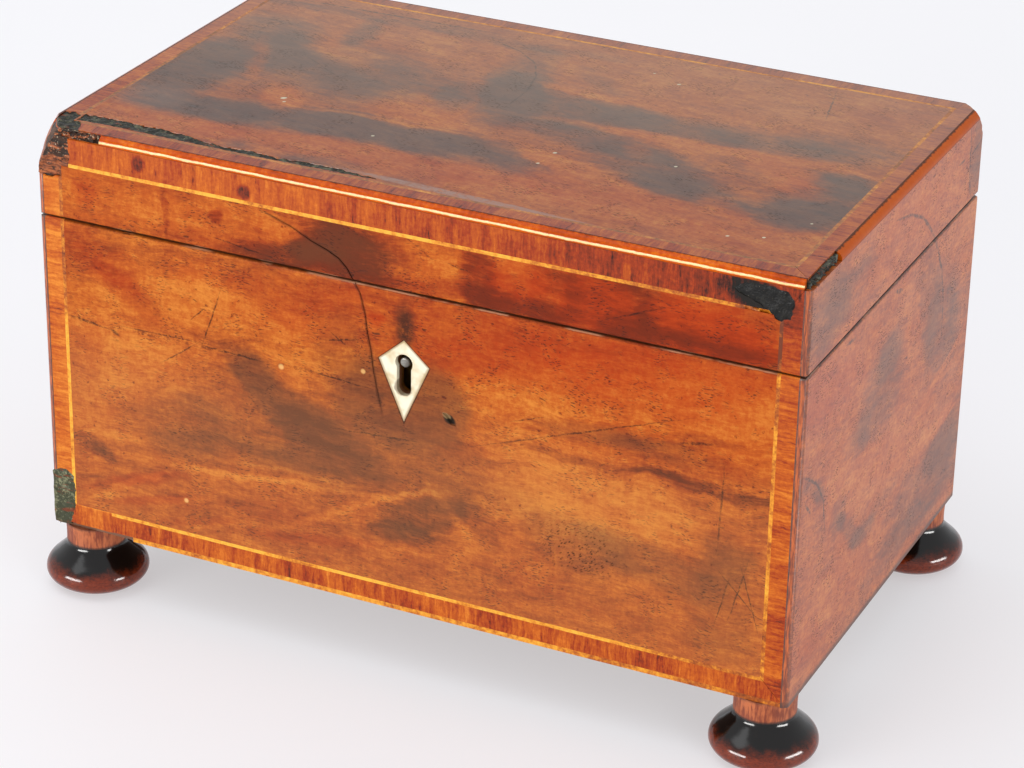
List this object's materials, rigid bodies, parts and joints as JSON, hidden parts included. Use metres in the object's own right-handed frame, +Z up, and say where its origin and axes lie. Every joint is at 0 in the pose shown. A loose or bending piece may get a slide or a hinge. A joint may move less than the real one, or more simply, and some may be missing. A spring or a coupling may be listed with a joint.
{
  "type": "tea caddy",
  "caption": "Worn antique veneered tea caddy on turned bun feet, with hinged lid, box lock behind a kite escutcheon and lift-off inner lids over the tea compartments.",
  "frame": {"origin": "on the surface the feet stand on, under the middle of the box", "axes": "+X along the front towards the right end, -Y out of the front with the keyhole, +Z up"},
  "size_m": [0.2482, 0.1558, 0.1493],
  "materials": {
    "figured_mahogany": "figured veneer, french polished and worn",
    "end_mahogany": "plain figured veneer, hazed polish",
    "crossbanding": "cross-grained banding, polished",
    "boxwood": "pale stringing, polished",
    "stained_edging": "rounded arris strip, polished",
    "carcass_wood": "planed ground, unfinished",
    "lining_wood": "planed, thinly polished",
    "ebonised_wood": "turned, stained and polished",
    "bone": "polished bone",
    "tea_foil": "creased lead foil",
    "lining_paper": "pasted paper",
    "brass": "cast and filed brass, tarnished",
    "steel": "dull steel"
  },
  "bodies": {
    "case": {"case_front": "carcass_wood", "case_back": "carcass_wood", "case_left_end": "carcass_wood", "case_right_end": "carcass_wood", "case_base": "carcass_wood", "front_veneer": "figured_mahogany", "front_crossbanding": "crossbanding", "front_lines": "boxwood", "base_line": "boxwood", "left_end_veneer": "end_mahogany", "right_end_veneer": "end_mahogany", "back_veneer": "end_mahogany", "escutcheon": "bone", "foot_front_left": "ebonised_wood", "foot_front_right": "ebonised_wood", "foot_back_left": "ebonised_wood", "foot_back_right": "ebonised_wood", "lining_front": "lining_wood", "lining_back": "lining_wood", "lining_left": "lining_wood", "lining_right": "lining_wood", "divider": "lining_wood", "left_foil_lining": "tea_foil", "right_foil_lining": "tea_foil", "left_hinge_case_leaf": "brass", "right_hinge_case_leaf": "brass", "hinge_pins": "steel", "hinge_case_screws": "brass", "lock_case": "brass", "lock_cap": "brass", "lock_spring": "steel", "lock_drill_pin": "steel", "lock_screws": "steel"},
    "lid": {"lid_top_board": "carcass_wood", "lid_front_rail": "carcass_wood", "lid_back_rail": "carcass_wood", "lid_left_rail": "carcass_wood", "lid_right_rail": "carcass_wood", "lid_top_veneer": "figured_mahogany", "lid_top_crossbanding": "crossbanding", "lid_top_lines": "boxwood", "lid_edging": "stained_edging", "lid_front_veneer": "figured_mahogany", "lid_front_crossbanding": "crossbanding", "lid_front_lines": "boxwood", "lid_left_veneer": "end_mahogany", "lid_right_veneer": "end_mahogany", "lid_back_veneer": "end_mahogany", "lid_lining_paper": "lining_paper", "left_hinge_lid_leaf": "brass", "right_hinge_lid_leaf": "brass", "hinge_lid_screws": "brass", "link_plate": "brass", "link_plate_screws": "steel"},
    "bolt": {"lock_bolt": "steel"},
    "left_inner_lid": {"left_inner_lid": "lining_wood", "left_knob": "bone"},
    "right_inner_lid": {"right_inner_lid": "lining_wood", "right_knob": "bone"}
  },
  "joints": [
    {"name": "lid_hinge", "type": "hinge", "parent": "case", "child": "lid", "pos_m": [0, 0.0688, 0.1217], "axis": [-1, 0, 0], "range_deg": [0, 100]},
    {"name": "bolt_slide", "type": "slide", "parent": "case", "child": "bolt", "axis": [1, 0, 0], "range_m": [0, 0.0045]},
    {"name": "left_inner_lid_lift", "type": "slide", "parent": "case", "child": "left_inner_lid", "axis": [0, 0, 1], "range_m": [0, 0.011]},
    {"name": "right_inner_lid_lift", "type": "slide", "parent": "case", "child": "right_inner_lid", "axis": [0, 0, 1], "range_m": [0, 0.011]}
  ]
}
